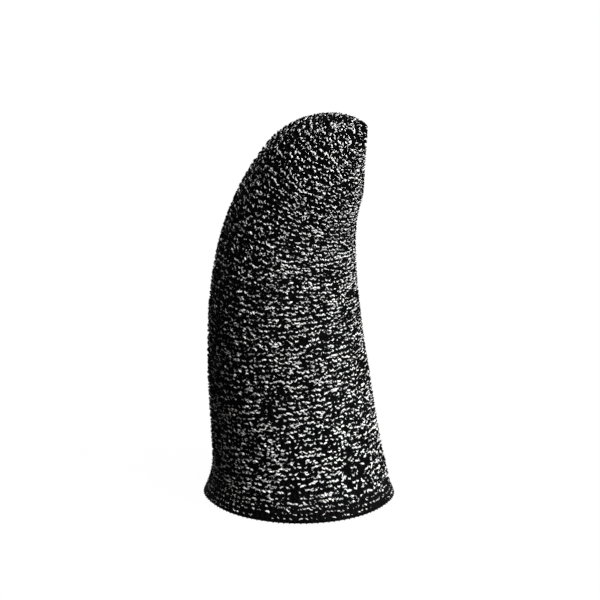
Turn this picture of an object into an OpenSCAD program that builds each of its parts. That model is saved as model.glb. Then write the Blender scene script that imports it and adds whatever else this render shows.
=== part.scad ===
// Knitted finger sleeve: one seamless knitted tube with a closed fingertip, standing on its mouth.
// Z runs up from the level mouth, and X is the way that the fingertip bends, towards the finger pad.
// Every ring of the knit is an ellipse square to a curved axis that runs from the mouth to the fingertip.

/* [Mouth] */
// Width of the mouth, from the nail side to the pad side
mouth_width = 20; // [18.5:0.5:24]
// Depth of the mouth, across the finger
mouth_depth = 19.2; // [17.6:0.4:23.2]
// Height over which the knit flares out to the mouth
flare_height = 4.4; // [3:0.2:6]

/* [Hem] */
// Height of the hem, where the knit is folded up inside itself
hem_height = 3; // [2:0.5:5]
// Thickness of the hem, which is two layers of knit
hem_wall = 1; // [0.9:0.05:1.3]
// Rounding of the fold along the lower edge of the hem
fold_radius = 0.25; // [0.2:0.05:0.4]

/* [Body] */
// Thickness of the single layer of knit above the hem
wall = 0.5; // [0.4:0.05:0.7]
// Width just above the flare
lower_width = 18.1; // [17:0.1:20]
// Depth just above the flare
lower_depth = 17.4; // [16.2:0.1:19.2]
// Width a third of the way from the flare to the fingertip
middle_width = 16.8; // [15.5:0.1:18]
// Depth a third of the way from the flare to the fingertip
middle_depth = 16.1; // [14.8:0.1:17.2]
// Width two thirds of the way from the flare to the fingertip
upper_width = 14.9; // [13.5:0.1:16]
// Depth two thirds of the way from the flare to the fingertip
upper_depth = 14.3; // [13:0.1:15.4]

/* [Bend] */
// Length of the axis, from the mouth to the end of the fingertip
sleeve_length = 43.8; // [40:0.1:50]
// Angle by which the lower part leans to the nail side
lean_angle = 6.5; // [0:0.5:10]
// Length over which the level mouth turns into that lean
lean_run = 6; // [4:0.5:9]
// Height up the axis at which the bend towards the pad side starts
bend_start = 3; // [2:0.5:9]
// Angle that the axis has turned through where the fingertip ends
bend_angle = 71; // [45:0.5:78]
// How the bend tightens: 1 is a plain arc, and a higher value leaves more of the bend to the fingertip
bend_tightening = 3; // [1.5:0.1:3.5]

/* [Fingertip] */
// Width where the closed fingertip starts
tip_width = 11.6; // [10:0.1:13]
// Depth where the closed fingertip starts
tip_depth = 11.1; // [9.6:0.1:12.5]
// Length of the closed fingertip along the axis
tip_length = 8; // [6.5:0.1:10]
// Sharpness of the fingertip: 0.5 is half an ellipse, and 1 comes to a point
tip_sharpness = 0.74; // [0.5:0.02:0.9]

/* [Knit] */
// Distance from one course of the knit to the next
course_pitch = 0.57; // [0.55:0.01:0.9]
// Depth of the groove between two courses
course_relief = 0.12; // [0.06:0.01:0.16]
// Number of sides of each ring
sides = 28; // [20:4:28]

/* [Hidden] */
knit_colour = [0.09, 0.09, 0.1];
// Steps in which the fold, the inner edge of the hem and the smooth inside are drawn
fold_steps = 3;
edge_steps = 3;
lining_steps = 12;
lining_tip_steps = 7;
// Steps along the axis at which its curve and the length of the outline are added up
axis_steps = 220;
// Share of the fingertip at which the courses end, where a flat button of stitches closes it
tip_close = 0.97;

tip_start = sleeve_length - tip_length;
axis_step = sleeve_length / axis_steps;
hem_edge = hem_wall - wall;

// Places along the axis at which the widths and depths are given
stations = [for (share = [0, 1, 2, 3]) flare_height + share * (tip_start - flare_height) / 3];
width_places = concat([0], stations);
widths = [mouth_width, lower_width, middle_width, upper_width, tip_width];
depths = [mouth_depth, lower_depth, middle_depth, upper_depth, tip_depth];

function eased(t) = let (u = min(max(t, 0), 1)) u * u * (3 - 2 * u);

// Slope of a smooth curve through the given values, at value i
function slope_at(values, i) =
    let (low = max(i - 1, 0), high = min(i + 1, len(values) - 1))
    (values[high] - values[low]) / (width_places[high] - width_places[low]);

// Number of the stretch between two places in which a point of the axis lies
function stretch_of(along, i = 0) =
    i >= len(width_places) - 2 || along < width_places[i + 1] ? i : stretch_of(along, i + 1);

// Smooth curve through the given values, one at each of the width places
function smooth(values, along) =
    let (
        i = stretch_of(along),
        run = width_places[i + 1] - width_places[i],
        t = (along - width_places[i]) / run,
        rise = values[i + 1] - values[i]
    )
    values[i] + rise * t * t * (3 - 2 * t)
        + run * slope_at(values, i) * t * (1 - t) * (1 - t)
        - run * slope_at(values, i + 1) * t * t * (1 - t);

// The same curve, run on straight over the fingertip, where the taper below closes it
function spread(values, place) =
    smooth(values, min(place, tip_start))
        + slope_at(values, len(values) - 1) * max(place - tip_start, 0);

// Tilt of the axis from upright, positive towards the pad side
function tilt_at(along) =
    bend_angle * pow(max(along - bend_start, 0) / (sleeve_length - bend_start), bend_tightening)
        - lean_angle * eased(along / lean_run);

axis = [
    for (
        i = 0, x = 0, z = 0;
        i <= axis_steps;
        x = x + axis_step * sin(tilt_at((i + 0.5) * axis_step)),
        z = z + axis_step * cos(tilt_at((i + 0.5) * axis_step)),
        i = i + 1
    )
    [i * axis_step, x, z]
];
axis_x = [for (p = axis) [p[0], p[1]]];
axis_z = [for (p = axis) [p[0], p[2]]];

// How far along the closed fingertip a place lies, from 0 to 1, and how much of its width is left there
function tip_share(place) = min(max((place - tip_start) / tip_length, 0), 1);
function tip_taper(place) = pow(1 - pow(tip_share(place), 2), tip_sharpness);

// One ring of points, sunk below the outer surface by inset
function ring(place, inset) =
    let (
        along = min(place, tip_start) + tip_share(place) * (tip_length - inset),
        half_width = (spread(widths, place) / 2 - inset) * tip_taper(place),
        half_depth = (spread(depths, place) / 2 - inset) * tip_taper(place),
        x = lookup(along, axis_x),
        z = lookup(along, axis_z),
        tilt = tilt_at(along)
    )
    [
        for (side = [0 : sides - 1])
        let (turn = 360 * side / sides)
        [
            x + half_width * cos(turn) * cos(tilt),
            half_depth * sin(turn),
            z - half_width * cos(turn) * sin(tilt)
        ]
    ];

// Middle of the closed end, sunk by inset
function tip_end(inset) =
    let (along = sleeve_length - inset)
    [lookup(along, axis_x), 0, lookup(along, axis_z)];

// Length of the outline from the fold to each place, so that the courses are evenly spaced over the fingertip
function outline_radius(place) = spread(widths, place) / 2 * tip_taper(place);
outline_step = (tip_start + tip_close * tip_length - fold_radius) / axis_steps;
outline = [
    for (
        i = 0, place = fold_radius, length = 0;
        i <= axis_steps;
        length = length + norm([
            outline_step,
            outline_radius(place + outline_step) - outline_radius(place)
        ]),
        place = place + outline_step,
        i = i + 1
    )
    [length, place]
];
outline_length = outline[axis_steps][0];
courses = floor(outline_length / course_pitch);
course_step = outline_length / courses;

// The smooth inside, from the fingertip down to the inner edge of the hem
lining_tip_rings = [
    for (i = [0 : lining_tip_steps - 1])
    ring(tip_start + tip_length * cos(90 * (i + 0.6) / lining_tip_steps), wall)
];
lining_rings = [
    for (i = [0 : lining_steps])
    ring(tip_start + (hem_height - tip_start) * i / lining_steps, wall)
];

// The inner edge of the hem, rounded, and the fold, with a narrow flat ring that the sleeve stands on
hem_rings = [
    for (i = [1 : edge_steps])
    let (turn = 90 * i / edge_steps)
    ring(hem_height - hem_edge * (1 - cos(turn)), wall + hem_edge * sin(turn))
];
fold_inner_rings = [
    for (i = [0 : fold_steps])
    let (turn = 90 * i / fold_steps)
    ring(fold_radius * (1 - sin(turn)), hem_wall - fold_radius * (1 - cos(turn)))
];
fold_outer_rings = [
    for (i = [0 : fold_steps - 1])
    let (turn = 90 * i / fold_steps)
    ring(fold_radius * (1 - cos(turn)), fold_radius * (1 - sin(turn)))
];

// The outside: a crest on every course and a groove between two courses
course_rings = [
    for (i = [0 : 2 * courses])
    ring(lookup(i * course_step / 2, outline), i % 2 == 0 ? 0 : course_relief)
];

rings = concat(
    lining_tip_rings, lining_rings, hem_rings, fold_inner_rings, fold_outer_rings, course_rings
);

// Point numbers: 0 is the inner end of the fingertip, then the rings in order, then the outer end
function corner(row, side) = 1 + row * sides + side % sides;
outer_end = 1 + len(rings) * sides;

module knit_shell() {
    points = concat([tip_end(wall)], [for (row = rings) each row], [tip_end(0)]);
    inner_cap = [for (side = [0 : sides - 1]) [0, corner(0, side), corner(0, side + 1)]];
    outer_cap = [
        for (side = [0 : sides - 1])
        [outer_end, corner(len(rings) - 1, side + 1), corner(len(rings) - 1, side)]
    ];
    bands = [
        for (row = [0 : len(rings) - 2], side = [0 : sides - 1])
        each [
            [corner(row, side), corner(row + 1, side), corner(row + 1, side + 1)],
            [corner(row, side), corner(row + 1, side + 1), corner(row, side + 1)]
        ]
    ];
    polyhedron(points = points, faces = concat(inner_cap, bands, outer_cap), convexity = 6);
}

module sleeve() {
    color(knit_colour) knit_shell();
}

sleeve();
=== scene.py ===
import math
import bpy
import numpy as np
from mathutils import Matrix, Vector


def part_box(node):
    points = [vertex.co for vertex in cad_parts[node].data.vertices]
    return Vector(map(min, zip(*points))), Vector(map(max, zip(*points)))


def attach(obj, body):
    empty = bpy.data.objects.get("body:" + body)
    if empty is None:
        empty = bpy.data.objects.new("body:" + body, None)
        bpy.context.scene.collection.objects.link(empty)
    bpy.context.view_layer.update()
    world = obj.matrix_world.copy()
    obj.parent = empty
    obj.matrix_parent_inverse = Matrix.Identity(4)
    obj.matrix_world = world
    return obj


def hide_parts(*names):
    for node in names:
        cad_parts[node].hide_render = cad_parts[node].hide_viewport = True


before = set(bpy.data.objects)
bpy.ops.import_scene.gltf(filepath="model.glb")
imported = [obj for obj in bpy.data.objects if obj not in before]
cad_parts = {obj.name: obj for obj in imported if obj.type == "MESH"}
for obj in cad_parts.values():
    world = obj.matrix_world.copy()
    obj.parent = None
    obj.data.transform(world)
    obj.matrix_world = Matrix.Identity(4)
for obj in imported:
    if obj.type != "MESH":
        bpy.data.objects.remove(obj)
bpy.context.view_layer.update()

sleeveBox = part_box("sleeve")
print("frame loaded, sleeve", [round(float(v), 5) for corner in sleeveBox for v in corner])

# The sleeve's form, in mm and degrees: rings of knit square to a curved axis, with the sizes of the solid.
# The corner values are the scene's own: the fold is drawn out a little at two opposite places of the mouth,
# as on a soft mouth that is pressed slightly flat.
sleeveForm = {
    "widths": [20.0, 18.1, 16.8, 14.9, 11.6],
    "depths": [19.2, 17.4, 16.1, 14.3, 11.1],
    "flareHeight": 4.4,
    "hemHeight": 3.0,
    "hemWall": 1.0,
    "foldRadius": 0.25,
    "cornerFlare": 0.03,
    "cornerTurn": 11.0,
    "cornerHeight": 0.8,
    "cornerSpread": 0.3,
    "wall": 0.5,
    "length": 43.8,
    "leanAngle": 6.5,
    "leanRun": 6.0,
    "bendStart": 3.0,
    "bendAngle": 71.0,
    "bendTightening": 3.0,
    "tipLength": 8.0,
    "tipSharpness": 0.74,
    "tipClose": 0.97,
    "coursePitch": 0.57,
    "axisPoints": 881,
}
flareHeight = sleeveForm["flareHeight"]
tipStart = sleeveForm["length"] - sleeveForm["tipLength"]
# Places along the axis at which the widths and depths are given
widthPlaces = np.array([0.0] + [flareHeight + k * (tipStart - flareHeight) / 3 for k in range(4)])


def slopeAt(values, i):
    low, high = max(i - 1, 0), min(i + 1, len(values) - 1)
    return (values[high] - values[low]) / (widthPlaces[high] - widthPlaces[low])


# Smooth curve through the given values, run on straight over the fingertip, where the taper closes it
def spreadAt(values, place):
    values = np.array(values)
    slopes = np.array([slopeAt(values, i) for i in range(len(values))])
    held = np.minimum(place, tipStart)
    i = np.clip(np.searchsorted(widthPlaces, held, side="right") - 1, 0, len(values) - 2)
    run = widthPlaces[i + 1] - widthPlaces[i]
    t = (held - widthPlaces[i]) / run
    smooth = values[i] + (values[i + 1] - values[i]) * t * t * (3 - 2 * t)
    smooth = smooth + run * slopes[i] * t * (1 - t) ** 2 - run * slopes[i + 1] * t * t * (1 - t)
    return smooth + slopes[-1] * np.maximum(place - tipStart, 0)


# Tilt of the axis from upright, positive towards the pad side
def tiltAt(along):
    form = sleeveForm
    u = np.clip(along / form["leanRun"], 0, 1)
    bend = np.maximum(along - form["bendStart"], 0) / (form["length"] - form["bendStart"])
    turned = form["bendAngle"] * bend ** form["bendTightening"]
    return np.radians(turned - form["leanAngle"] * u * u * (3 - 2 * u))


axisAlong = np.linspace(0, sleeveForm["length"], sleeveForm["axisPoints"])
axisMiddles = (axisAlong[1:] + axisAlong[:-1]) / 2
axisX = np.concatenate([[0], np.cumsum(np.sin(tiltAt(axisMiddles)) * np.diff(axisAlong))])
axisZ = np.concatenate([[0], np.cumsum(np.cos(tiltAt(axisMiddles)) * np.diff(axisAlong))])


# How far along the closed fingertip a place lies, from 0 to 1, and how much of its width is left there
def tipShare(place):
    return np.clip((place - tipStart) / sleeveForm["tipLength"], 0, 1)


def tipTaper(place):
    return (1 - tipShare(place) ** 2) ** sleeveForm["tipSharpness"]


# Share by which the mouth is drawn out at its two corners
def cornerDraw(place, turn):
    aside = np.sin(turn - math.radians(sleeveForm["cornerTurn"])) / sleeveForm["cornerSpread"]
    return sleeveForm["cornerFlare"] * np.exp(-(place / sleeveForm["cornerHeight"]) ** 2 - aside**2)


# Points of the rings at a place along the axis, sunk below the outer surface by inset
def ringPoints(place, inset, turn):
    along = np.minimum(place, tipStart) + tipShare(place) * (sleeveForm["tipLength"] - inset)
    size = tipTaper(place) * (1 + cornerDraw(place, turn))
    halfWidth = (spreadAt(sleeveForm["widths"], place) / 2 - inset) * size
    halfDepth = (spreadAt(sleeveForm["depths"], place) / 2 - inset) * size
    tilt = tiltAt(along)
    x = np.interp(along, axisAlong, axisX) + halfWidth * np.cos(turn) * np.cos(tilt)
    z = np.interp(along, axisAlong, axisZ) - halfWidth * np.cos(turn) * np.sin(tilt)
    return np.stack([x, halfDepth * np.sin(turn), z], axis=-1)


# Points that draw the skin: on each quarter turn of the hem, up the outside to just short of its end, and
# round it where its length round is measured
skinDetail = {"arcPoints": 10, "outsidePoints": 1600, "tipReach": 0.9995, "roundPoints": 181}


# Sines and cosines of evenly spaced turns from 0 to 90 degrees
def quarterTurn(count):
    return [(math.sin(turn), math.cos(turn)) for turn in np.radians(np.linspace(0, 90, count))]


# The fabric's skin, from the hem's inner edge, round the fold and up the outside to the fingertip: the length
# along it, which is 0 where the outside starts, its place, inset and the way that faces out, and the row of
# the table at which the outside starts
def skinTable():
    form = sleeveForm
    edge = form["hemWall"] - form["wall"]
    fold = form["foldRadius"]
    arcs = quarterTurn(skinDetail["arcPoints"])
    rows = [[form["hemHeight"] - edge * (1 - c), form["wall"] + edge * s, c, s] for s, c in arcs]
    rows += [[fold * (1 - s), form["hemWall"] - fold * (1 - c), -s, c] for s, c in arcs]
    rows += [[fold * (1 - c), fold * (1 - s), -c, -s] for s, c in arcs]
    start = len(rows) - 1
    end = tipStart + skinDetail["tipReach"] * form["tipLength"]
    rows += [[place, 0.0, 0.0, -1.0] for place in np.linspace(fold, end, skinDetail["outsidePoints"])[1:]]
    table = np.array(rows)
    radius = spreadAt(form["widths"], table[:, 0]) / 2 * tipTaper(table[:, 0]) - table[:, 1]
    steps = np.hypot(np.diff(table[:, 0]), np.diff(radius))
    length = np.concatenate([[0], np.cumsum(steps)])
    return length - length[start], table, start


skinLength, skin, outsideStart = skinTable()


def onSkin(length, turn, out):
    place, inset, outPlace, outInset = (np.interp(length, skinLength, skin[:, k]) for k in range(4))
    return ringPoints(place + out * outPlace, inset + out * outInset, turn)


def roundLength(length):
    count = skinDetail["roundPoints"]
    ring = onSkin(np.full(count, length), np.linspace(0, 2 * math.pi, count), np.zeros(count))
    return float(np.linalg.norm(np.diff(ring, axis=0), axis=1).sum())


# The knit: courses of loops, purl side out, so that the heads and feet of the loops show as wavy ribs.
# Sizes are in mm, but the swing is a share of a stitch's width, and the loop's height a share of the step
# from course to course. Up to the settling height above the fold, and on rings of few stitches, the loops
# are less uneven.
knit = {
    "coursesInHem": 7,
    "loopHeight": 0.62,
    "loopSwing": 0.21,
    "loopDepth": 0.115,
    "headLift": 0.1,
    "proud": 0.06,
    "proudHeight": 2.0,
    "yarnRadius": 0.1,
    "unevenness": (0.06, 0.08, 0.02),
    "settlingHeight": 3.0,
    "leastUneven": 0.3,
    "hemUneven": 0.6,
    "unevenWales": 40,
    "driftWales": 60,
    "smallestPitch": 0.38,
    "waleCounts": [104, 96, 88, 80, 72, 64, 56, 48, 40, 32, 26, 20, 15, 11, 8, 5],
    "samples": 8,
    "slopeShare": 0.25,
    "sides": 4,
    "courseSeed": 7050,
}
closePlace = tipStart + sleeveForm["tipClose"] * sleeveForm["tipLength"]
closeLength = float(np.interp(closePlace, skin[outsideStart:, 0], skinLength[outsideStart:]))
courseCount = math.floor(closeLength / sleeveForm["coursePitch"])
courseStep = closeLength / courseCount
yarnDepth = knit["loopDepth"] + knit["headLift"] + knit["yarnRadius"]


# Number of stitches in a course, as many as the smallest pitch allows
def walesIn(around):
    fitting = (count for count in knit["waleCounts"] if around / count >= knit["smallestPitch"])
    return next(fitting, knit["waleCounts"][-1])


def planCourse(number):
    crest = number * courseStep
    around = roundLength(crest)
    wales = walesIn(around)
    chance = np.random.default_rng(knit["courseSeed"] + number)
    return {
        "number": number,
        "crest": crest,
        "wales": wales,
        "pitch": around / wales,
        "heads": chance.normal(0, 1, (wales, 3)),
        "feet": chance.normal(0, 1, (wales, 3)),
        "chance": chance,
    }


courses = [planCourse(number) for number in range(-knit["coursesInHem"], courseCount + 1)]
print("knit planned:", len(courses), "courses,", sum(c["wales"] for c in courses), "stitches")

# Slow drift of the rows and columns, as in a soft knit that has been handled: a sum of waves round and along
# the sleeve, each smaller than the one before
wander = {
    "size": 0.22,
    "waves": 9,
    "fewestRounds": 2,
    "fading": 0.35,
    "slowest": 0.2,
    "paceSpread": 0.9,
    "phaseSpread": 6.28,
    "seed": 7,
}
wanderWaves = np.random.default_rng(wander["seed"]).uniform(0, 1, (wander["waves"], 4))


def drift(turn, length):
    up = np.zeros_like(turn)
    side = np.zeros_like(turn)
    slowest, pace, phase = wander["slowest"], wander["paceSpread"], wander["phaseSpread"]
    for i, (a, b, c, d) in enumerate(wanderWaves):
        rounds = wander["fewestRounds"] + i
        size = 1 / (1 + wander["fading"] * i)
        up = up + size * np.sin(rounds * turn + (slowest + pace * a) * length + phase * b)
        side = side + size * np.sin(rounds * turn - (slowest + pace * c) * length + phase * d)
    return up * wander["size"] / 2, side * wander["size"] / 2


# How much of its full value a quantity has reached, from 0 to 1
def reached(value, full):
    return min(1.0, max(0.0, value / full))


# Middle line of the yarn of a course, in the flat knit: phase counts stitches, with a head at each whole
# number and a foot between two
def yarnLine(course, phase):
    wales, pitch, crest = course["wales"], course["pitch"], course["crest"]
    stitch = np.floor(phase)
    t = 2 * math.pi * (phase - stitch)
    here = stitch.astype(int) % wales
    headHere = np.where((t < math.pi)[..., None], course["heads"][here], course["heads"][(here + 1) % wales])
    headShare = ((1 + np.cos(t)) / 2)[..., None]
    uneven = headShare * headHere + (1 - headShare) * course["feet"][here]
    calm = min(1.0, max(knit["leastUneven"], knit["hemUneven"] + crest / knit["settlingHeight"]))
    calm = calm * reached(wales, knit["unevenWales"])
    uneven = uneven * np.array(knit["unevenness"]) * calm
    upDrift, sideDrift = drift(2 * math.pi * phase / wales, np.full_like(phase, crest))
    fade = reached(crest, knit["settlingHeight"]) * reached(wales, knit["driftWales"])
    along = pitch * phase + knit["loopSwing"] * pitch * np.sin(2 * t) + uneven[..., 0] + sideDrift * fade
    up = crest + knit["loopHeight"] * courseStep * np.cos(t) + uneven[..., 1] + upDrift * fade
    out = knit["loopDepth"] * np.cos(2 * t) + knit["headLift"] * np.cos(t) - yarnDepth
    proud = knit["proud"] * reached(crest, knit["proudHeight"])
    out = np.minimum(out + uneven[..., 2], -knit["yarnRadius"]) + proud
    return np.stack([along, up, out], axis=-1)


# From the flat knit to the sleeve
def ontoSleeve(course, flat):
    turn = 2 * math.pi * flat[..., 0] / (course["pitch"] * course["wales"])
    return onSkin(flat[..., 1], turn, flat[..., 2])


# Two directions square to a line in the flat knit: one across it within the fabric, one out of it
def squareTo(line):
    ahead = line / np.linalg.norm(line, axis=-1, keepdims=True)
    across = np.cross(ahead, np.array([0.0, 0.0, 1.0]))
    across /= np.linalg.norm(across, axis=-1, keepdims=True)
    return across, np.cross(across, ahead)


# The yarn of a course, as a closed tube
def yarnCourse(course):
    samples, sides = knit["samples"], knit["sides"]
    count = course["wales"] * samples
    phase = np.arange(count) / samples
    step = knit["slopeShare"] / samples
    middle = yarnLine(course, phase)
    across, outward = squareTo(yarnLine(course, phase + step) - yarnLine(course, phase - step))
    rings = []
    for side in range(sides):
        around = 2 * math.pi * side / sides
        rings.append(middle + knit["yarnRadius"] * (math.cos(around) * across + math.sin(around) * outward))
    points = ontoSleeve(course, np.stack(rings, axis=1)).reshape(-1, 3)
    a = np.arange(count)[:, None] * sides
    b = np.arange(sides)[None, :]
    nextRow = (a + sides) % (count * sides)
    nextSide = (b + 1) % sides
    faces = np.stack([a + b, a + nextSide, nextRow + nextSide, nextRow + b], axis=-1).reshape(-1, 4)
    return points, faces


# The yarn drawn through the last loops, wound in a small coil that closes the fingertip and sinks outwards
closing = {"turns": 4, "stepsPerTurn": 20, "innerRadius": 0.06, "width": 0.6, "sag": 0.25}


def closingYarn():
    radius, sides = knit["yarnRadius"], knit["sides"]
    count = closing["turns"] * closing["stepsPerTurn"]
    turn = np.arange(count + 1) * 2 * math.pi / closing["stepsPerTurn"]
    wide = (closing["innerRadius"] + closing["width"] * turn / turn[-1])[:, None, None]
    around = (2 * math.pi * np.arange(sides) / sides)[None, :, None]
    tilt = float(tiltAt(axisAlong[-1]))
    ahead = np.array([math.sin(tilt), 0, math.cos(tilt)])
    across = np.array([math.cos(tilt), 0, -math.sin(tilt)])
    outward = np.cos(turn)[:, None, None] * across + np.sin(turn)[:, None, None] * np.array([0.0, 1.0, 0.0])
    sunk = radius + closing["sag"] * (wide / closing["width"]) ** 2
    middle = np.array([axisX[-1], 0, axisZ[-1]]) + outward * wide - ahead * sunk
    points = middle + radius * (np.cos(around) * outward + np.sin(around) * ahead)
    a = np.arange(count)[:, None] * sides
    b = np.arange(sides)[None, :]
    after = (b + 1) % sides
    faces = np.stack([a + b, a + sides + b, a + sides + after, a + after], axis=-1).reshape(-1, 4)
    return points.reshape(-1, 3), faces


metresPerMm = 0.001


# A piece from points in mm, with values at its points for the material to read
def makePiece(name, points, faces, material, values=None, smooth=True):
    mesh = bpy.data.meshes.new(name)
    mesh.from_pydata((np.asarray(points) * metresPerMm).tolist(), [], faces)
    for valueName, numbers in (values or {}).items():
        layer = mesh.attributes.new(valueName, "FLOAT", "POINT")
        layer.data.foreach_set("value", np.asarray(numbers, dtype=np.float32))
    if smooth:
        mesh.shade_smooth()
    else:
        mesh.shade_flat()
    mesh.materials.append(material)
    piece = bpy.data.objects.new(name, mesh)
    bpy.context.scene.collection.objects.link(piece)
    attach(piece, "root")
    print("made", name, "-", sum(len(f) - 2 for f in faces), "triangles")
    return piece


# The courses from first to before last, and with the topmost ones the closing coil
def yarnPiece(name, first, last):
    tubes = [yarnCourse(course) for course in courses if first <= course["number"] < last]
    if last > courseCount:
        tubes.append(closingYarn())
    starts = np.cumsum([0] + [len(points) for points, faces in tubes])
    points = np.concatenate([points for points, faces in tubes])
    faces = np.concatenate([faces + start for (points, faces), start in zip(tubes, starts)])
    return makePiece(name, points, faces.tolist(), yarnLook)


def newMaterial(name):
    material = bpy.data.materials.new(name)
    material.use_nodes = True
    return material, material.node_tree.nodes, material.node_tree.links


# Uneven tone of twisted fibre: a fine noise and a slow one, and the height of single fibres
def fibreGroup():
    group = bpy.data.node_groups.new("fibreTone", "ShaderNodeTree")
    for name, value in (("Fibre Size", 0.00006), ("Patch Size", 0.002), ("Patch Share", 0.4)):
        socket = group.interface.new_socket(name=name, in_out="INPUT", socket_type="NodeSocketFloat")
        socket.default_value = value
    for name in ("Tone", "Height"):
        group.interface.new_socket(name=name, in_out="OUTPUT", socket_type="NodeSocketFloat")
    nodes, links = group.nodes, group.links
    given = nodes.new("NodeGroupInput")
    result = nodes.new("NodeGroupOutput")
    place = nodes.new("ShaderNodeTexCoord")
    noises = []
    for size in ("Fibre Size", "Patch Size"):
        scale = nodes.new("ShaderNodeMath")
        scale.operation = "DIVIDE"
        scale.inputs[0].default_value = 1.0
        links.new(given.outputs[size], scale.inputs[1])
        noise = nodes.new("ShaderNodeTexNoise")
        noise.inputs["Detail"].default_value = 2.0
        links.new(scale.outputs[0], noise.inputs["Scale"])
        links.new(place.outputs["Object"], noise.inputs["Vector"])
        noises.append(noise)
    mix = nodes.new("ShaderNodeMix")
    mix.data_type = "FLOAT"
    links.new(given.outputs["Patch Share"], mix.inputs["Factor"])
    links.new(noises[0].outputs["Fac"], mix.inputs["A"])
    links.new(noises[1].outputs["Fac"], mix.inputs["B"])
    links.new(mix.outputs["Result"], result.inputs["Tone"])
    links.new(noises[0].outputs["Fac"], result.inputs["Height"])
    return group


fibreTone = fibreGroup()
# The part of the noise's range that a tone or roughness is spread over
noiseRange = (0.3, 0.7)


def fibreNode(nodes, look):
    tone = nodes.new("ShaderNodeGroup")
    tone.node_tree = fibreTone
    tone.inputs["Fibre Size"].default_value = look["fibreSize"]
    tone.inputs["Patch Size"].default_value = look["patchSize"]
    tone.inputs["Patch Share"].default_value = look["patchShare"]
    return tone


def roughnessFrom(nodes, links, value, look):
    spread = nodes.new("ShaderNodeMapRange")
    spread.inputs["From Min"].default_value = noiseRange[0]
    spread.inputs["From Max"].default_value = noiseRange[1]
    spread.inputs["To Min"].default_value = look["roughest"]
    spread.inputs["To Max"].default_value = look["smoothest"]
    links.new(value, spread.inputs["Value"])
    return spread.outputs["Result"]


def colourFrom(nodes, links, value, look, valueRange=noiseRange):
    ramp = nodes.new("ShaderNodeValToRGB")
    for element, position, colour in zip(ramp.color_ramp.elements, valueRange, (look["dark"], look["light"])):
        element.position = position
        element.color = (*colour, 1)
    links.new(value, ramp.inputs["Fac"])
    return ramp.outputs["Color"]


def bumpFrom(nodes, links, height, look):
    bump = nodes.new("ShaderNodeBump")
    bump.inputs["Strength"].default_value = look["bumpStrength"]
    bump.inputs["Distance"].default_value = look["bumpHeight"]
    links.new(height, bump.inputs["Height"])
    return bump.outputs["Normal"]


blackYarn = {
    "dark": (0.0008, 0.0008, 0.0009),
    "light": (0.0028, 0.0028, 0.003),
    "roughest": 0.95,
    "smoothest": 0.75,
    "shine": 0.02,
    "fibreSize": 0.00006,
    "patchSize": 0.0015,
    "patchShare": 0.5,
    "bumpStrength": 0.5,
    "bumpHeight": 0.00002,
}


def yarnMaterial():
    material, nodes, links = newMaterial("blackYarn")
    shader = nodes["Principled BSDF"]
    tone = fibreNode(nodes, blackYarn)
    value = tone.outputs["Tone"]
    links.new(colourFrom(nodes, links, value, blackYarn), shader.inputs["Base Color"])
    links.new(roughnessFrom(nodes, links, value, blackYarn), shader.inputs["Roughness"])
    shader.inputs["Specular IOR Level"].default_value = blackYarn["shine"]
    links.new(bumpFrom(nodes, links, tone.outputs["Height"], blackYarn), shader.inputs["Normal"])
    return material


silverFibre = {
    "dark": (0.16, 0.165, 0.17),
    "light": (0.96, 0.96, 0.95),
    "roughest": 0.42,
    "smoothest": 0.24,
    "metallic": 0.02,
    "shine": 0.01,
    "fibreSize": 0.00025,
    "patchSize": 0.0012,
    "patchShare": 0.35,
    "strandShare": 0.5,
    "toneRange": (0.42, 0.68),
}


# Each strand has a tone of its own, to which the fibre's noise is added
def silverMaterial():
    material, nodes, links = newMaterial("silverFibre")
    shader = nodes["Principled BSDF"]
    shader.inputs["Metallic"].default_value = silverFibre["metallic"]
    shader.inputs["Specular IOR Level"].default_value = silverFibre["shine"]
    value = fibreNode(nodes, silverFibre).outputs["Tone"]
    strand = nodes.new("ShaderNodeAttribute")
    strand.attribute_name = "strandTone"
    both = nodes.new("ShaderNodeMath")
    both.operation = "MULTIPLY_ADD"
    both.inputs[1].default_value = silverFibre["strandShare"]
    links.new(strand.outputs["Fac"], both.inputs[0])
    links.new(value, both.inputs[2])
    colour = colourFrom(nodes, links, both.outputs[0], silverFibre, silverFibre["toneRange"])
    links.new(colour, shader.inputs["Base Color"])
    links.new(roughnessFrom(nodes, links, value, silverFibre), shader.inputs["Roughness"])
    return material


liningCloth = {
    "dark": (0.0015, 0.0015, 0.0017),
    "light": (0.004, 0.004, 0.0045),
    "roughness": 0.92,
    "shine": 0.03,
    "fibreSize": 0.0003,
    "patchSize": 0.003,
    "patchShare": 0.5,
    "bumpStrength": 0.6,
    "bumpHeight": 0.0001,
}


# A wave over whole numbers of a value that the piece's points hold
def countedWave(nodes, links, valueName):
    source = nodes.new("ShaderNodeAttribute")
    source.attribute_name = valueName
    scaled = nodes.new("ShaderNodeMath")
    scaled.operation = "MULTIPLY"
    scaled.inputs[1].default_value = 2 * math.pi
    wave = nodes.new("ShaderNodeMath")
    wave.operation = "SINE"
    links.new(source.outputs["Fac"], scaled.inputs[0])
    links.new(scaled.outputs[0], wave.inputs[0])
    return wave.outputs[0]


def liningMaterial():
    material, nodes, links = newMaterial("liningCloth")
    shader = nodes["Principled BSDF"]
    value = fibreNode(nodes, liningCloth).outputs["Tone"]
    links.new(colourFrom(nodes, links, value, liningCloth), shader.inputs["Base Color"])
    shader.inputs["Roughness"].default_value = liningCloth["roughness"]
    shader.inputs["Specular IOR Level"].default_value = liningCloth["shine"]
    ribs = nodes.new("ShaderNodeMath")
    ribs.operation = "ADD"
    links.new(countedWave(nodes, links, "rows"), ribs.inputs[0])
    links.new(countedWave(nodes, links, "columns"), ribs.inputs[1])
    links.new(bumpFrom(nodes, links, ribs.outputs[0], liningCloth), shader.inputs["Normal"])
    return material


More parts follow.
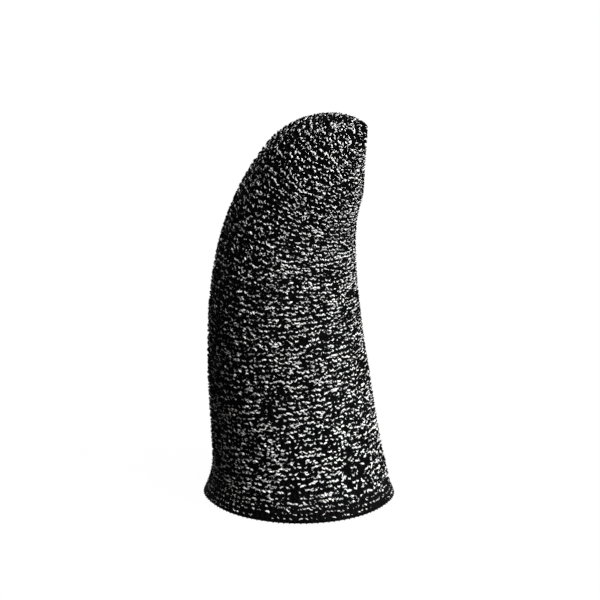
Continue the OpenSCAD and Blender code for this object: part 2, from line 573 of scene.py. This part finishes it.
yarnLook = yarnMaterial()
silverLook = silverMaterial()
liningLook = liningMaterial()
print("materials made")

# The inside of the fabric: a thin closed shell behind the loops, with the fold and edge of the hem.
# The distances behind the outer surface are in mm, and the edge turns in degrees.
lining = {
    "sides": 96,
    "behindLoops": 0.22,
    "behindHem": 0.07,
    "tipRows": 12,
    "tipEnd": 0.35,
    "bodyRows": 56,
    "edgeTurns": [30, 60, 90],
    "foldPoints": 5,
    "columnsPerSide": 52,
}


# Place and inset of each ring, from the inner end of the fingertip down, round the hem and up again
def liningRows():
    form, tipRows, bodyRows = sleeveForm, lining["tipRows"], lining["bodyRows"]
    wall, fold, hem = form["wall"], form["foldRadius"], form["hemHeight"]
    behind, close = lining["behindLoops"], lining["behindHem"]
    core = form["hemWall"] - close
    turns = [math.pi / 2 * (k + lining["tipEnd"]) / tipRows for k in range(tipRows)]
    tipPlaces = [tipStart + form["tipLength"] * math.cos(turn) for turn in turns]
    foldTurns = quarterTurn(lining["foldPoints"])
    rows = [(place, wall) for place in tipPlaces]
    rows += [(tipStart + (hem - tipStart) * k / bodyRows, wall) for k in range(bodyRows + 1)]
    for turn in np.radians(lining["edgeTurns"]):
        rows.append((hem - behind * (1 - math.cos(turn)), wall + (core - wall) * math.sin(turn)))
    rows += [(close + fold * (1 - s), core - fold * (1 - c)) for s, c in foldTurns]
    rows += [(close + fold * (1 - c), close + fold * (1 - s)) for s, c in foldTurns]
    for k in range(1, bodyRows + 1):
        place = close + fold + (tipStart - close - fold) * k / bodyRows
        rows.append((place, close + (behind - close) * min(1.0, place / hem)))
    return rows + [(place, behind) for place in reversed(tipPlaces)]


def liningPiece():
    rows, sides, end = liningRows(), lining["sides"], sleeveForm["length"]
    turn = np.arange(sides) * 2 * math.pi / sides
    rings = [ringPoints(np.full(sides, place), np.full(sides, inset), turn) for place, inset in rows]
    insets = (sleeveForm["wall"], lining["behindLoops"])
    ends = [ringPoints(np.array([end]), np.array([inset]), np.array([0.0])) for inset in insets]
    points = np.concatenate([ends[0]] + rings + [ends[1]])
    last = 1 + (len(rows) - 1) * sides
    faces = []
    for side in range(sides):
        after = (side + 1) % sides
        faces.append((0, 1 + side, 1 + after))
        faces.append((len(points) - 1, last + after, last + side))
        for row in range(len(rows) - 1):
            low, high = 1 + row * sides, 1 + (row + 1) * sides
            faces.append((low + side, high + side, high + after, low + after))
    places = np.concatenate([[end]] + [np.full(sides, place) for place, inset in rows] + [[end]])
    column = np.abs(turn - math.pi) / math.pi * lining["columnsPerSide"]
    columns = np.concatenate([[0]] + [column] * len(rows) + [[0]])
    values = {"rows": places / courseStep, "columns": columns}
    return makePiece("sleeveLining", points, faces, liningLook, values)


# The silver fibre: flat strands that surface on the heads, feet and legs of the loops, and smaller flecks.
# Sizes are in mm. A reach is half a strand's length, in stitches. The hem has fewer, smaller and darker ones.
silver = {
    "places": (("head", 0.0), ("foot", 0.5), ("leg", 0.25), ("leg", 0.75),
               ("fleck", 0.09), ("fleck", 0.41), ("fleck", 0.59), ("fleck", 0.91)),
    "shares": {"head": 0.42, "foot": 1.0, "leg": 0.3, "fleck": 0.03},
    "reaches": {"head": (0.05, 0.13), "foot": (0.05, 0.2), "leg": (0.04, 0.07), "fleck": (0.03, 0.06)},
    "hemTop": (1.7, 0.8),
    "hemTopUneven": 0.5,
    "hemShares": {"head": 0.8, "foot": 0.8, "leg": 0.3, "fleck": 0.7},
    "hemSize": (0.25, 0.7),
    "hemTone": 0.7,
    "foldShare": 0.7,
    "foldHeight": 1.5,
    "patchiness": 0.06,
    "fullPitch": 0.52,
    "breadths": (0.7, 1.1),
    "halfWidth": 0.098,
    "halfThickness": 0.03,
    "lift": 0.78,
    "proudest": 0.02,
    "slide": 0.03,
    "slant": (0.04, 0.05),
    "shift": 0.03,
    "roll": 0.35,
    "tilt": 0.4,
    "tiltLift": 0.4,
    "toneBend": 0.6,
    "slopeStep": 0.02,
}
# A strand is a pointed lozenge: its sections lie at these shares of its half length, with these breadths
strandForm = {"places": (-1.0, -0.65, 0.0, 0.65, 1.0), "breadths": (0.0, 0.85, 1.0, 0.85, 0.0), "sides": 4}
strandRings = len(strandForm["places"]) - 2
strandPoints = strandRings * strandForm["sides"] + 2

# Patches with more or less silver, a few mm across: a sum of waves round and along the sleeve
patches = {
    "waves": 14,
    "fewestRounds": 4,
    "roundsSpread": 18,
    "pace": 2,
    "phaseSpread": 6.28,
    "smallest": 0.6,
    "sizeSpread": 0.8,
    "divisor": 3.0,
    "seed": 23,
}
patchWaves = np.random.default_rng(patches["seed"]).uniform(0, 1, (patches["waves"], 4))


def patch(turn, length):
    value = np.zeros_like(turn)
    pace = patches["pace"]
    for a, b, c, d in patchWaves:
        rounds = round(patches["fewestRounds"] + patches["roundsSpread"] * a)
        wave = np.sin(rounds * turn + (2 * pace * b - pace) * length + patches["phaseSpread"] * c)
        value = value + wave * (patches["smallest"] + patches["sizeSpread"] * d)
    return value / patches["divisor"]


# The strands of a course, one a row: place in stitches, reach, roll, breadth, slant, tone, tilt and shift
def strandsOf(course):
    chance, wales, crest = course["chance"], course["wales"], course["crest"]
    narrowing = min(1.0, course["pitch"] / silver["fullPitch"])
    hemTop, hemDrift = silver["hemTop"]
    strands = []
    for part, offset in silver["places"]:
        phase = np.arange(wales) + offset
        dense = patch(2 * math.pi * phase / wales, np.full(wales, crest))
        inHem = crest < hemTop + hemDrift * (dense + chance.normal(0, silver["hemTopUneven"], wales))
        share = np.where(inHem, silver["hemShares"][part], silver["shares"][part])
        share = share * (1 - silver["patchiness"] * (1 - dense))
        share = share * min(1.0, silver["foldShare"] + crest / silver["foldHeight"])
        chosen = chance.uniform(0, 1, wales) < share
        phase, inHem = phase[chosen], inHem[chosen]
        count = len(phase)
        size = np.where(inHem, chance.uniform(*silver["hemSize"], count), 1.0)
        tone = chance.uniform(0, 1, count) ** silver["toneBend"]
        strands.append(np.stack([
            phase + chance.normal(0, silver["slide"], count),
            chance.uniform(*silver["reaches"][part], count) * size,
            chance.normal(0, silver["roll"], count),
            chance.uniform(*silver["breadths"], count) * narrowing * size,
            chance.normal(*silver["slant"], count),
            tone * np.where(inHem, silver["hemTone"], 1.0),
            chance.normal(0, silver["tilt"], count),
            chance.normal(0, silver["shift"], count),
        ], axis=-1))
    return np.concatenate(strands)


# Points and tones of a course's strands
def silverCourse(course):
    strands = strandsOf(course)
    middle, reach, roll, size, slant, tone, tilt, shift = (strands[:, k, None] for k in range(8))
    along = np.array([strandForm["places"]])
    breadth = np.array(strandForm["breadths"])[None, :, None]
    phase = middle + along * reach
    step = silver["slopeStep"]
    line = yarnLine(course, phase)
    across, outward = squareTo(yarnLine(course, phase + step) - yarnLine(course, phase - step))
    halfLength = np.linalg.norm(line[:, -1] - line[:, 0], axis=-1)[:, None] / 2
    tilted = along * tilt + silver["tiltLift"] * np.abs(tilt)
    rise = knit["yarnRadius"] * silver["lift"] + halfLength * tilted
    base = line + outward * rise[..., None] + across * (along * slant + shift)[..., None]
    turned = across * np.cos(roll)[..., None] + outward * np.sin(roll)[..., None]
    thick = outward * np.cos(roll)[..., None] - across * np.sin(roll)[..., None]
    wide = turned * (silver["halfWidth"] * size[..., None] * breadth)
    thin = thick * (silver["halfThickness"] * breadth)
    corners = np.stack([base + wide, base + thin, base - wide, base - thin], axis=2)
    corners[..., 2] = np.minimum(corners[..., 2], knit["proud"] + silver["proudest"])
    body = corners[:, 1:-1].reshape(len(strands), strandPoints - 2, 3)
    flat = np.concatenate([corners[:, 0, :1], body, corners[:, -1, :1]], axis=1)
    return ontoSleeve(course, flat).reshape(-1, 3), np.repeat(tone, strandPoints)


def strandFaces(count):
    sides = strandForm["sides"]
    faces = []
    for strand in range(count):
        start = strand * strandPoints
        end = start + strandPoints - 1
        for side in range(sides):
            after = (side + 1) % sides
            faces.append((start, start + 1 + after, start + 1 + side))
            faces.append((end, end - sides + side, end - sides + after))
            for ring in range(strandRings - 1):
                low = start + 1 + ring * sides
                high = low + sides
                faces.append((low + side, low + after, high + after, high + side))
    return faces


def silverPiece(name, first, last):
    made = [silverCourse(course) for course in courses if first <= course["number"] < last]
    points = np.concatenate([strandPlaces for strandPlaces, tones in made])
    tones = np.concatenate([tones for strandPlaces, tones in made])
    count = len(points) // strandPoints
    print("silver strands in", name, ":", count)
    return makePiece(name, points, strandFaces(count), silverLook, {"strandTone": tones}, smooth=False)


# The courses are shared out over pieces, from the first to before the last, each under the limit of triangles
endCourse = courseCount + 1
yarnParts = (
    ("hemYarn", -knit["coursesInHem"], 6),
    ("lowerYarn", 6, 30),
    ("middleYarn", 30, 54),
    ("upperYarn", 54, endCourse),
)
silverParts = (("lowerSilver", 0, 26), ("middleSilver", 26, 52), ("upperSilver", 52, endCourse))
sleeveLining = liningPiece()
for name, first, last in yarnParts:
    yarnPiece(name, first, last)
for name, first, last in silverParts:
    silverPiece(name, first, last)
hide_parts("sleeve")
print("pieces made")

# Floor, light and camera. Lamps are given by their turn round the sleeve and height above it, in degrees, and
# their level, size and distance, in metres.
studio = {
    "floorColour": (0.04, 0.04, 0.04),
    "floorRoughness": 0.9,
    "floorRadius": 1.5,
    "floorSides": 64,
    "whiteShare": 0.5,
    "whiteLevel": 1.96,
    "roomLevel": 0.006,
    "backgroundLevel": 1.0,
    "lampDistance": 0.5,
    "lampAim": (0.0, 0.0, 0.02),
    "cameraPlace": (0.0828, -0.35646, 0.13792),
    "cameraAim": (0.000127, 0.0, 0.02147),
    "lens": 220.6,
    "sensor": 36.0,
    "clipping": (0.01, 10.0),
}
lamps = (
    {"name": "keyLamp", "turn": 63.0, "height": 16.0, "level": 1.25, "size": 0.16},
    {"name": "topLamp", "turn": 62.0, "height": 75.0, "level": 0.7, "size": 0.16},
    {"name": "rearLamp", "turn": 195.0, "height": 22.0, "level": 0.6, "size": 0.12},
)
white = (1, 1, 1, 1)


# 1 where a ray comes from the camera or from a reflection or glass, which all see the same white
def seenDirectly(nodes, links):
    path = nodes.new("ShaderNodeLightPath")
    total = path.outputs["Is Camera Ray"]
    for name in ("Is Glossy Ray", "Is Transmission Ray"):
        most = nodes.new("ShaderNodeMath")
        most.operation = "MAXIMUM"
        links.new(total, most.inputs[0])
        links.new(path.outputs[name], most.inputs[1])
        total = most.outputs[0]
    return total


# Half of what is seen of the floor is its own white, and half a dark surface, which keeps the sleeve's shadow
def makeFloor():
    material, nodes, links = newMaterial("paleFloor")
    plain = nodes["Principled BSDF"]
    plain.inputs["Base Color"].default_value = (*studio["floorColour"], 1)
    plain.inputs["Roughness"].default_value = studio["floorRoughness"]
    plain.inputs["Specular IOR Level"].default_value = 0.0
    glow = nodes.new("ShaderNodeEmission")
    glow.inputs["Color"].default_value = white
    glow.inputs["Strength"].default_value = studio["whiteLevel"]
    share = nodes.new("ShaderNodeMath")
    share.operation = "MULTIPLY"
    share.inputs[1].default_value = studio["whiteShare"]
    links.new(seenDirectly(nodes, links), share.inputs[0])
    mix = nodes.new("ShaderNodeMixShader")
    links.new(share.outputs[0], mix.inputs["Fac"])
    links.new(plain.outputs["BSDF"], mix.inputs[1])
    links.new(glow.outputs["Emission"], mix.inputs[2])
    links.new(mix.outputs["Shader"], nodes["Material Output"].inputs["Surface"])
    radius, sides = studio["floorRadius"], studio["floorSides"]
    turns = np.linspace(0, 2 * math.pi, sides + 1)[:-1]
    points = [(math.cos(t) * radius, math.sin(t) * radius, 0.0) for t in turns]
    mesh = bpy.data.meshes.new("paleFloor")
    mesh.from_pydata(points, [], [list(range(sides))])
    mesh.materials.append(material)
    floor = bpy.data.objects.new("paleFloor", mesh)
    bpy.context.scene.collection.objects.link(floor)


def makeRoom():
    room = bpy.data.worlds.new("room")
    bpy.context.scene.world = room
    room.use_nodes = True
    nodes, links = room.node_tree.nodes, room.node_tree.links
    dim, bright = nodes["Background"], nodes.new("ShaderNodeBackground")
    for background, level in ((dim, studio["roomLevel"]), (bright, studio["backgroundLevel"])):
        background.inputs["Color"].default_value = white
        background.inputs["Strength"].default_value = level
    mix = nodes.new("ShaderNodeMixShader")
    links.new(seenDirectly(nodes, links), mix.inputs["Fac"])
    links.new(dim.outputs["Background"], mix.inputs[1])
    links.new(bright.outputs["Background"], mix.inputs[2])
    links.new(mix.outputs["Shader"], nodes["World Output"].inputs["Surface"])


# A square soft light. A level of 1 lights a white surface that faces it to white
def makeLamp(lamp):
    turn, height = math.radians(lamp["turn"]), math.radians(lamp["height"])
    aim, distance = Vector(studio["lampAim"]), studio["lampDistance"]
    place = aim + distance * Vector(
        (math.sin(turn) * math.cos(height), -math.cos(turn) * math.cos(height), math.sin(height))
    )
    data = bpy.data.lights.new(lamp["name"], "AREA")
    data.shape = "SQUARE"
    data.size = lamp["size"]
    data.energy = lamp["level"] * math.pi**2 * distance**2
    light = bpy.data.objects.new(lamp["name"], data)
    light.location = place
    light.rotation_euler = (aim - place).to_track_quat("-Z", "Y").to_euler()
    bpy.context.scene.collection.objects.link(light)


def makeCamera():
    data = bpy.data.cameras.new("camera")
    data.lens = studio["lens"]
    data.sensor_width = studio["sensor"]
    data.clip_start, data.clip_end = studio["clipping"]
    camera = bpy.data.objects.new("camera", data)
    camera.location = studio["cameraPlace"]
    aim = Vector(studio["cameraAim"]) - camera.location
    camera.rotation_euler = aim.to_track_quat("-Z", "Y").to_euler()
    bpy.context.scene.collection.objects.link(camera)
    bpy.context.scene.camera = camera


makeFloor()
makeRoom()
for lamp in lamps:
    makeLamp(lamp)
makeCamera()
bpy.context.scene.view_settings.view_transform = "Standard"
print("studio made")
